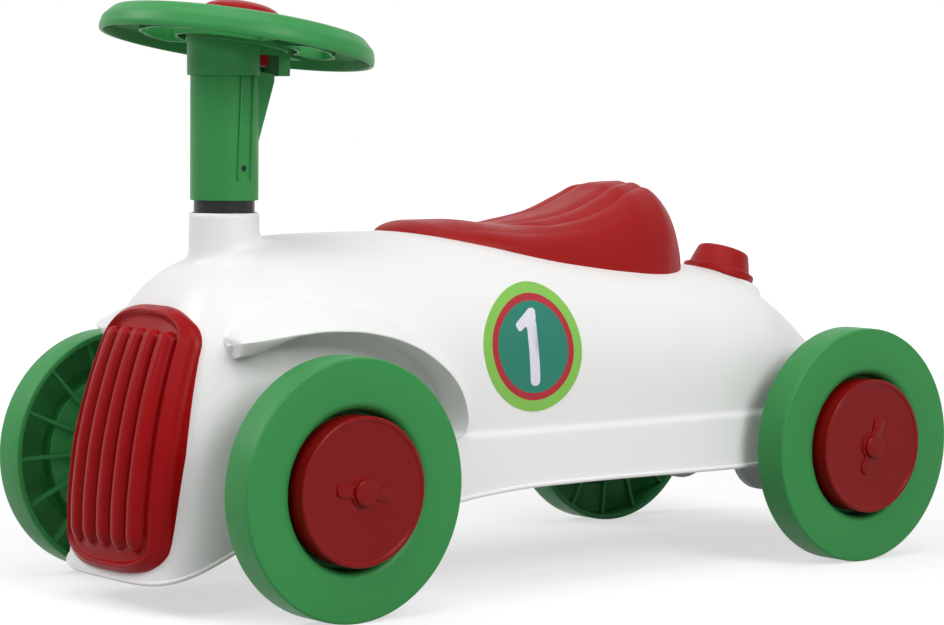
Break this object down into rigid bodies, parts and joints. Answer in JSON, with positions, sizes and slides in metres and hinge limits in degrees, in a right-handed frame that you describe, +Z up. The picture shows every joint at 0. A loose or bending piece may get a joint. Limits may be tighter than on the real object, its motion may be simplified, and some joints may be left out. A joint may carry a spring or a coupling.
{
  "type": "push car",
  "caption": "Low ride-on push car in the shape of a round-tailed racer, with a saddle seat, side roundels, and a round steering wheel that turns the front axle.",
  "frame": {"origin": "on the floor, at the centre of the overall box, within 3 mm of midway between the axles", "axes": "+Z up, -Y towards the front of the car, +X towards its left side"},
  "size_m": [0.3184, 0.6586, 0.3979],
  "materials": {
    "gloss_white": "glossy moulded plastic",
    "matte_white": "satin moulded plastic",
    "green": "fine satin grain, moulded in colour",
    "red_seat": "satin grain, moulded in colour",
    "red_gloss": "glossy, moulded in colour",
    "lime_print": "printed film",
    "black": "satin black",
    "tube_black": "satin black enamel",
    "grey": "plain moulded",
    "steel": "zinc plated"
  },
  "bodies": {
    "chassis": {"body_shell": "gloss_white", "floor_pan": "matte_white", "steering_cross_plate": "matte_white", "steering_upper_bush": "black", "steering_lower_bush": "black", "seat": "red_seat", "grille": "red_seat", "fuel_cap": "red_gloss", "roundel_left": "lime_print", "roundel_right": "lime_print", "rear_axle": "steel", "rear_push_nut_left": "steel", "rear_push_nut_right": "steel", "rear_spacer_left": "grey", "rear_spacer_right": "grey", "pan_screw_1": "steel", "pan_screw_2": "steel", "pan_screw_3": "steel", "pan_screw_4": "steel", "cross_plate_screw_left": "steel", "cross_plate_screw_right": "steel", "seat_screw_front": "steel", "seat_screw_rear": "steel", "grille_screw_lower": "steel", "grille_screw_upper": "steel"},
    "steering": {"steering_wheel": "green", "steering_column": "green", "column_tube": "tube_black", "column_screw": "black", "axle_carrier": "grey", "carrier_bolt": "steel", "carrier_nut": "steel", "front_axle": "steel", "front_push_nut_left": "steel", "front_push_nut_right": "steel", "horn_bellows": "matte_white"},
    "horn": {"horn_button": "red_gloss"},
    "wheel_front_left": {"wheel_front_left": "green", "hub_cap_front_left": "red_gloss"},
    "wheel_front_right": {"wheel_front_right": "green", "hub_cap_front_right": "red_gloss"},
    "wheel_rear_left": {"wheel_rear_left": "green", "hub_cap_rear_left": "red_gloss"},
    "wheel_rear_right": {"wheel_rear_right": "green", "hub_cap_rear_right": "red_gloss"}
  },
  "joints": [
    {"name": "steering_turn", "type": "hinge", "parent": "chassis", "child": "steering", "pos_m": [0, -0.2304, 0.2], "axis": [0, 0, 1], "range_deg": [-12, 12]},
    {"name": "horn_press", "type": "slide", "parent": "steering", "child": "horn", "axis": [0, -0.1564, -0.9877], "range_m": [0, 0.003], "stiffness_N_per_m": 500, "springref_m": -0.0025, "deforming": ["horn_bellows"]},
    {"name": "front_left_roll", "type": "hinge", "parent": "steering", "child": "wheel_front_left", "pos_m": [0.13725, -0.2304, 0.085], "axis": [1, 0, 0], "continuous": true},
    {"name": "front_right_roll", "type": "hinge", "parent": "steering", "child": "wheel_front_right", "pos_m": [-0.13725, -0.2304, 0.085], "axis": [1, 0, 0], "continuous": true},
    {"name": "rear_left_roll", "type": "hinge", "parent": "chassis", "child": "wheel_rear_left", "pos_m": [0.13725, 0.2304, 0.085], "axis": [1, 0, 0], "continuous": true},
    {"name": "rear_right_roll", "type": "hinge", "parent": "chassis", "child": "wheel_rear_right", "pos_m": [-0.13725, 0.2304, 0.085], "axis": [1, 0, 0], "continuous": true}
  ]
}
